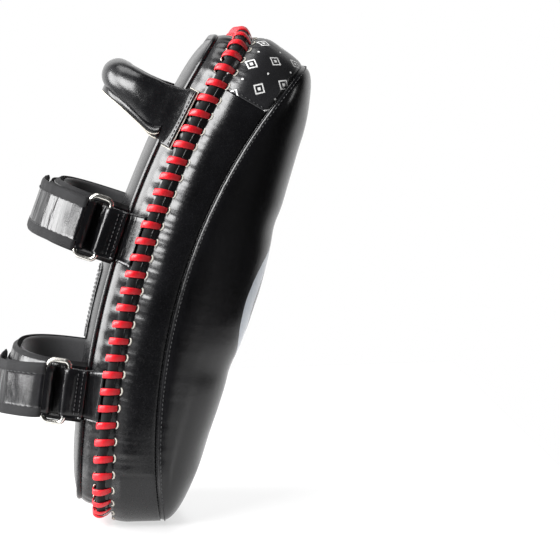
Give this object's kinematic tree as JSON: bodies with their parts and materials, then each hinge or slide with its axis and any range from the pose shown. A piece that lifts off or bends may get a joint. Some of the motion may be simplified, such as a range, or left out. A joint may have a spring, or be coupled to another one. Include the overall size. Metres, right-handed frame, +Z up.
{
  "type": "curved kicking pad",
  "caption": "Curved, laced leather kicking pad with a domed strike face, a padded grip and padded forearm straps closed through metal rings.",
  "frame": {"origin": "centre of the flat lower end of the pad, on the floor", "axes": "+Z up along the standing pad, -Y toward the strike face, +Y toward the grip and straps, X across the width"},
  "size_m": [0.1942, 0.2538, 0.3761],
  "materials": {
    "gloss_leather": "gloss",
    "soft_leather": "satin",
    "woven_tape": "matte",
    "red_lacing": "satin",
    "foam": "matte",
    "stiff_board": "matte",
    "suede_lining": "matte",
    "ring_metal": "satin"
  },
  "bodies": {
    "pad": {"face_panel": "gloss_leather", "strike_foam": "foam", "middle_foam": "foam", "inner_foam": "foam", "back_board": "stiff_board", "gusset_left": "gloss_leather", "gusset_right": "gloss_leather", "gusset_top_patch": "gloss_leather", "back_rim_panel": "gloss_leather", "back_piping": "soft_leather", "back_panel": "soft_leather", "back_label": "soft_leather", "lace_binding": "woven_tape", "red_lace": "red_lacing", "lower_ring_tab_root": "gloss_leather", "lower_far_tab_root": "gloss_leather", "upper_ring_tab_root": "gloss_leather", "upper_far_tab_root": "gloss_leather", "grip_root_left": "gloss_leather", "grip_root_right": "gloss_leather"},
    "grip": {"grip_cover": "gloss_leather", "grip_core": "foam", "grip_seam_edge": "gloss_leather"},
    "lower_loop": {"lower_strap_sleeve": "gloss_leather", "lower_strap_lining": "suede_lining", "lower_strap_band": "gloss_leather", "lower_loop_tape": "woven_tape", "lower_ring_tab": "gloss_leather", "lower_far_tab": "gloss_leather"},
    "lower_ring_body": {"lower_ring": "ring_metal"},
    "lower_flap_body": {"lower_strap_flap": "gloss_leather", "lower_hook_tape": "woven_tape", "lower_flap_binding": "woven_tape"},
    "upper_loop": {"upper_strap_sleeve": "gloss_leather", "upper_strap_lining": "suede_lining", "upper_strap_band": "gloss_leather", "upper_loop_tape": "woven_tape", "upper_ring_tab": "gloss_leather", "upper_far_tab": "gloss_leather"},
    "upper_ring_body": {"upper_ring": "ring_metal"},
    "upper_flap_body": {"upper_strap_flap": "gloss_leather", "upper_hook_tape": "woven_tape", "upper_flap_binding": "woven_tape"}
  },
  "joints": [
    {"name": "lower_loop_flex", "type": "hinge", "parent": "pad", "child": "lower_loop", "pos_m": [0, 0.03734, 0.10469], "axis": [1, 0, 0], "range_deg": [-12, 12], "stiffness_Nm_per_rad": 1.5},
    {"name": "lower_ring_pivot", "type": "hinge", "parent": "lower_loop", "child": "lower_ring_body", "pos_m": [-0.08181, 0.0497, 0.10668], "axis": [0, -0.1587, 0.9873], "range_deg": [-5, 5]},
    {"name": "lower_flap_peel", "type": "hinge", "parent": "lower_loop", "child": "lower_flap_body", "pos_m": [-0.0793, 0.06533, 0.1092], "axis": [0, -0.1587, 0.9873], "range_deg": [0, 110]},
    {"name": "upper_loop_flex", "type": "hinge", "parent": "pad", "child": "upper_loop", "pos_m": [0, 0.00676, 0.2233], "axis": [1, 0, 0], "range_deg": [-12, 12], "stiffness_Nm_per_rad": 1.5},
    {"name": "upper_ring_pivot", "type": "hinge", "parent": "upper_loop", "child": "upper_ring_body", "pos_m": [-0.08181, 0.01854, 0.22754], "axis": [0, -0.3385, 0.941], "range_deg": [-5, 5]},
    {"name": "upper_flap_peel", "type": "hinge", "parent": "upper_loop", "child": "upper_flap_body", "pos_m": [-0.0793, 0.03344, 0.2329], "axis": [0, -0.3385, 0.941], "range_deg": [0, 110]},
    {"name": "grip_flex", "type": "hinge", "parent": "pad", "child": "grip", "pos_m": [0, -0.03358, 0.31356], "axis": [1, 0, 0], "range_deg": [-12, 12], "stiffness_Nm_per_rad": 3}
  ]
}
